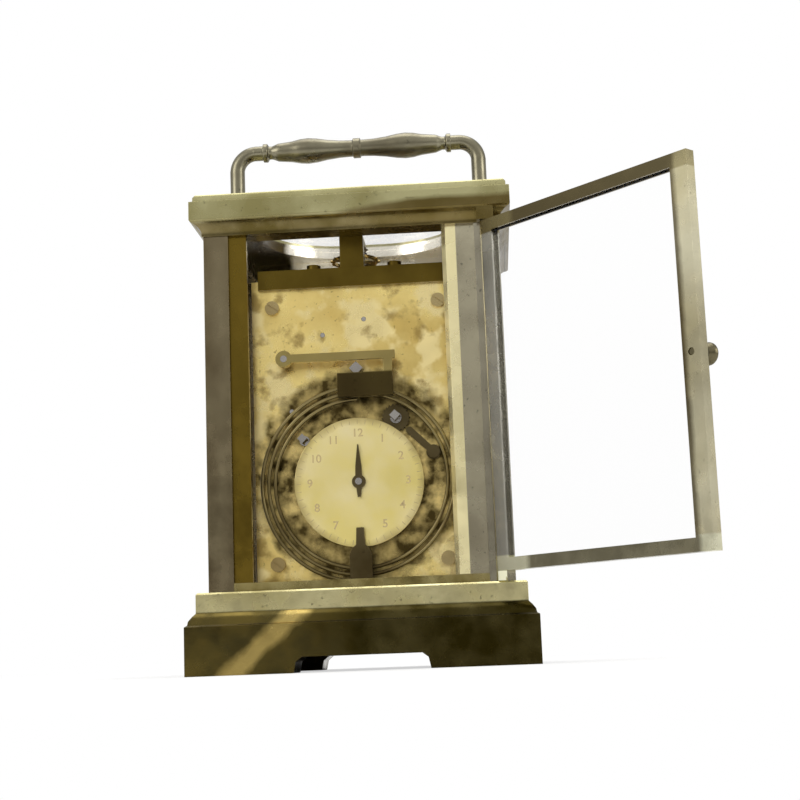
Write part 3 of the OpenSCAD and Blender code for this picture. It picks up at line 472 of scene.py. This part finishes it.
dress(metal("hammer_steel", (0.075, 0.055, 0.018, 1), (0.04, 0.028, 0.01, 1), 0.26, specks=0.3,
            wear_and_shade=hammer_wear), "hammer")
screw_steel = metal("screw_steel", (0.46, 0.36, 0.17, 1), (0.28, 0.20, 0.08, 1), 0.2)
dress(screw_steel, "pillar_screws")
ease(0, "pillar_screws", "barrel_arbor", "centre_arbor", "third_arbor", "contrate_arbor",
     "escape_arbor", "lever", "balance_staff", "cannon_pinion", "alarm_winding_arbor",
     "strike_arbor", "hammer_arbor", "alarm_arbor")
ease(0.00012, "hammer", "gong_block", "click", "ratchet_wheel")

# ---------------------------------------------------------------- Gong, hairspring and hands
# Spring steel drawn and coiled, heated until it turns a dark violet blue. The
# hands are pierced from thin sheet and blued the same way.

blued_steel = metal("blued_steel", (0.045, 0.05, 0.11, 1), (0.07, 0.045, 0.05, 1), 0.22)
dress(blued_steel, "hairspring", "minute_hand", "hour_hand", "alarm_hand")
gong_steel = metal("gong_steel", (0.22, 0.175, 0.075, 1), (0.09, 0.066, 0.026, 1), 0.26, specks=0.3)
dress(gong_steel, "gong")
ease(0, "gong", "hairspring", "minute_hand", "hour_hand", "alarm_pointer", "alarm_hand")

# ---------------------------------------------------------------- Alarm disc
# A pale gilt disc, turned flat and left with the fine rings of the lathe. Small
# figures and hour marks are cut into it and filled with dark wax.


def turned_gilt(name, centre):
    material, bench, place = new_finish(name)
    flat = flat_from(bench, place, centre)
    radius = bench.add("ShaderNodeVectorMath", {"operation": "LENGTH"}, {0: flat}, 1)
    rings = bench.add("ShaderNodeMath", {"operation": "SINE"}, {0: radius * 26000})
    patches = noise(bench, place, 70, 4).over(0.35, 0.75)
    colour = patches.between((0.86, 0.72, 0.26, 1), (0.80, 0.70, 0.42, 1))
    # Painted shade at the disc's edge.
    rim_shade = (radius + noise(bench, place, 260, 4) * 0.003).over(disc_radius - 0.0005, disc_radius + 0.0016)
    colour = (rim_shade * 0.8).between(colour, (0.42, 0.33, 0.13, 1))
    bump = bench.add("ShaderNodeBump", None, {"Strength": 0.25, "Distance": 0.00001, "Height": rings})
    close(bench, bench.add("ShaderNodeBsdfPrincipled", None, {
        "Base Color": colour, "Metallic": 1.0, "Roughness": patches * 0.12 + 0.3, "Normal": bump}))
    return material


disc_low, disc_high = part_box("alarm_disc")
disc_centre = Vector(((disc_low.x + disc_high.x) / 2, disc_low.y, (disc_low.z + disc_high.z) / 2))
disc_radius = (disc_high.x - disc_low.x) / 2
disc_gilt = turned_gilt("disc_gilt", disc_centre)
dress(disc_gilt, "alarm_disc")
ease(0.0002, "alarm_disc")


def ink(name, shade):
    material, bench, place = new_finish(name)
    colour = noise(bench, place, 500).between(shade, tuple(1.5 * c for c in shade[:3]) + (1,))
    close(bench, bench.add("ShaderNodeBsdfPrincipled", None, {"Base Color": colour, "Roughness": 0.4}))
    return material


dark_wax = ink("dark_wax", (0.34, 0.26, 0.12, 1))
black_ink = ink("black_ink", (0.012, 0.012, 0.014, 1))


def figure(name, words, size, centre, turn, facing, material, body="case"):
    """One figure, standing upright or turned, raised a hair from the face it is on."""
    line = bpy.data.curves.new(name, "FONT")
    line.body = words
    line.size = size
    line.align_x = line.align_y = "CENTER"
    line.extrude = 0.00003
    line.offset = 0.00004
    line.materials.append(material)
    made = bpy.data.objects.new(name, line)
    bpy.context.scene.collection.objects.link(made)
    upright = Matrix.Rotation(math.pi / 2, 4, "X")
    if facing > 0:
        upright = Matrix.Rotation(math.pi, 4, "Z") @ upright
    made.matrix_world = Matrix.Translation(centre) @ Matrix.Rotation(turn, 4, "Y") @ upright
    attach(made, body)


def marks(name, centre, inner, outer, count, width, facing, material, skip=0):
    """A ring of short radial bars, one mesh."""
    mesh = bmesh.new()
    for i in range(count):
        if skip and i % skip == 0:
            continue
        angle = 2 * math.pi * i / count
        out = Vector((math.sin(angle), 0, math.cos(angle)))
        side = Vector((math.cos(angle), 0, -math.sin(angle))) * width / 2
        low, high = centre + out * inner, centre + out * outer
        face = mesh.faces.new([mesh.verts.new(p) for p in (low - side, low + side, high + side, high - side)])
        face.normal_update()
        if face.normal.y * facing < 0:
            face.normal_flip()
        lifted = bmesh.ops.extrude_face_region(mesh, geom=[face])
        for part in lifted["geom"]:
            if isinstance(part, bmesh.types.BMVert):
                part.co.y += facing * 0.00005
    data = bpy.data.meshes.new(name)
    mesh.to_mesh(data)
    mesh.free()
    data.materials.append(material)
    made = bpy.data.objects.new(name, data)
    bpy.context.scene.collection.objects.link(made)
    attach(made, "case")


disc_face = disc_centre - Vector((0, 0.00001, 0))
for hour in range(1, 13):
    turn = 2 * math.pi * hour / 12
    spot = disc_face + Vector((math.sin(turn), 0, math.cos(turn))) * disc_radius * 0.76
    figure("disc_figure_%d" % hour, str(hour), 0.0030, spot, 0, -1, dark_wax)
marks("disc_marks", disc_face, disc_radius * 0.9, disc_radius * 0.97, 48, 0.00014, -1, dark_wax)

# ---------------------------------------------------------------- Dial
# A white fired enamel plate with painted black figures, a minute track, and a
# small alarm dial below. The surface is glossy, with a very slight ripple.

material, bench, place = new_finish("white_enamel")
ripple = noise(bench, place, 220, 2)
enamel_bump = bench.add("ShaderNodeBump", None, {"Strength": 0.1, "Distance": 0.00003, "Height": ripple})
close(bench, bench.add("ShaderNodeBsdfPrincipled", None, {
    "Base Color": noise(bench, place, 30).between((0.90, 0.885, 0.83, 1), (0.86, 0.84, 0.78, 1)),
    "Roughness": ripple * 0.06 + 0.08, "Coat Weight": 0.4, "Normal": enamel_bump}))
dress(material, "dial")
ease(0.0002, "dial")

dial_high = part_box("dial")[1]
hour_low, hour_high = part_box("hour_wheel")
dial_centre = Vector(((hour_low.x + hour_high.x) / 2, dial_high.y, (hour_low.z + hour_high.z) / 2))
small_centre = Vector((disc_centre.x, dial_high.y, disc_centre.z))
hour_words = ("I", "II", "III", "IIII", "V", "VI", "VII", "VIII", "IX", "X", "XI", "XII")
hour_ring = 0.0152
small_ring = 0.0067
for hour, words in enumerate(hour_words, 1):
    turn = 2 * math.pi * hour / 12
    way = Vector((-math.sin(turn), 0, math.cos(turn)))
    figure("dial_figure_%d" % hour, words, 0.0043, dial_centre + way * hour_ring, -turn, 1, black_ink)
    figure("alarm_figure_%d" % hour, str(hour), 0.0023, small_centre + way * small_ring, 0, 1, black_ink)
marks("minute_marks", dial_centre, 0.0186, 0.0196, 60, 0.00016, 1, black_ink, skip=5)
marks("hour_marks", dial_centre, 0.0184, 0.0198, 12, 0.0004, 1, black_ink)
marks("alarm_marks", small_centre, 0.0082, 0.0089, 48, 0.00014, 1, black_ink)

# ---------------------------------------------------------------- Stand and light
# The clock stands on a pale floor in a white room. Broad soft lamps stand left
# and right of it, and one hangs above; the room behind the viewer is dimmer.

floor_mesh = bmesh.new()
bmesh.ops.create_grid(floor_mesh, x_segments=1, y_segments=1, size=6)
floor_data = bpy.data.meshes.new("floor")
floor_mesh.to_mesh(floor_data)
floor_mesh.free()
floor = bpy.data.objects.new("floor", floor_data)
bpy.context.scene.collection.objects.link(floor)
material, bench, place = new_finish("floor_paint")
path = bench.add("ShaderNodeLightPath")
paint = noise(bench, place, 3).between((0.9, 0.9, 0.9, 1), (0.88, 0.88, 0.88, 1))
plain = bench.add("ShaderNodeBsdfPrincipled", None, {"Base Color": paint, "Roughness": 0.9})
white = bench.add("ShaderNodeEmission", None, {"Color": (1, 1, 1, 1), "Strength": 1.0})
outward = bench.add("ShaderNodeVectorMath", {"operation": "LENGTH"}, {0: place}, 1)
shadow_fade = outward.over(0.13, 0.30) * 0.4 + 0.6
close(bench, bench.add("ShaderNodeMixShader", None, {0: path * shadow_fade, 1: plain, 2: white}))
floor.data.materials.append(material)

world = bpy.data.worlds.new("room")
bpy.context.scene.world = world
world.use_nodes = True
world.node_tree.nodes.clear()
room = Wire(world.node_tree)
path = room.add("ShaderNodeLightPath")
way = room.add("ShaderNodeTexCoord")
depth = way.y
height = way.z
behind_viewer = depth.over(0.35, -0.35)
rise = height.add("ShaderNodeValToRGB", {"stops": (
    (0.0, (0.20, 0.185, 0.16, 1)), (0.12, (0.24, 0.225, 0.20, 1)), (0.30, (0.52, 0.51, 0.48, 1)),
    (0.55, (0.85, 0.85, 0.84, 1)), (1.0, (1.0, 1.0, 1.0, 1)))}, {0: height.over(-0.05, 0.6)})
shade = behind_viewer.between((0.72, 0.72, 0.72, 1), rise)
dim = room.add("ShaderNodeBackground", None, {"Color": shade, "Strength": 1.0})
white = room.add("ShaderNodeBackground", None, {"Color": (1, 1, 1, 1), "Strength": 1.0})
mixed = room.add("ShaderNodeMixShader", None, {0: path, 1: dim, 2: white})
end = world.node_tree.nodes.new("ShaderNodeOutputWorld")
world.node_tree.links.new(mixed.socket, end.inputs["Surface"])

middle = Vector((0, 0, (cad_low.z + cad_high.z) / 2))
for name, place, size, power in (
    ("lamp_left", Vector((-0.65, -0.55, 0.45)), 0.5, 2.6),
    ("lamp_right", Vector((0.75, -0.35, 0.35)), 0.45, 2.0),
    ("lamp_above", Vector((0.0, 0.1, 0.9)), 0.6, 3.0),
):
    lamp = bpy.data.lights.new(name, "AREA")
    lamp.size = size
    lamp.energy = power
    holder = bpy.data.objects.new(name, lamp)
    holder.location = place
    holder.rotation_mode = "QUATERNION"
    holder.rotation_quaternion = (middle - place).to_track_quat("-Z", "Y")
    bpy.context.scene.collection.objects.link(holder)

eye = bpy.data.cameras.new("eye")
eye.sensor_width = 36
eye.lens = 66.8
eye.clip_start = 0.02
eye.clip_end = 30
viewer = bpy.data.objects.new("eye", eye)
bpy.context.scene.collection.objects.link(viewer)
bpy.context.scene.camera = viewer
turn_left, tip_up, lean = 0.058, 0.170, 0.038
ahead_flat = Vector((-math.sin(turn_left), math.cos(turn_left), 0))
right = Vector((math.cos(turn_left), math.sin(turn_left), 0))
up = Vector((0, 0, 1))
ahead = ahead_flat * math.cos(tip_up) + up * math.sin(tip_up)
crown = up * math.cos(tip_up) - ahead_flat * math.sin(tip_up)
across = right * math.cos(lean) - crown * math.sin(lean)
crown = right * math.sin(lean) + crown * math.cos(lean)
viewer.matrix_world = Matrix.Translation((0.0338, -0.4131, 0.0035)) @ Matrix(
    (across, crown, -ahead)).transposed().to_4x4()

bpy.context.scene.view_settings.view_transform = "Standard"
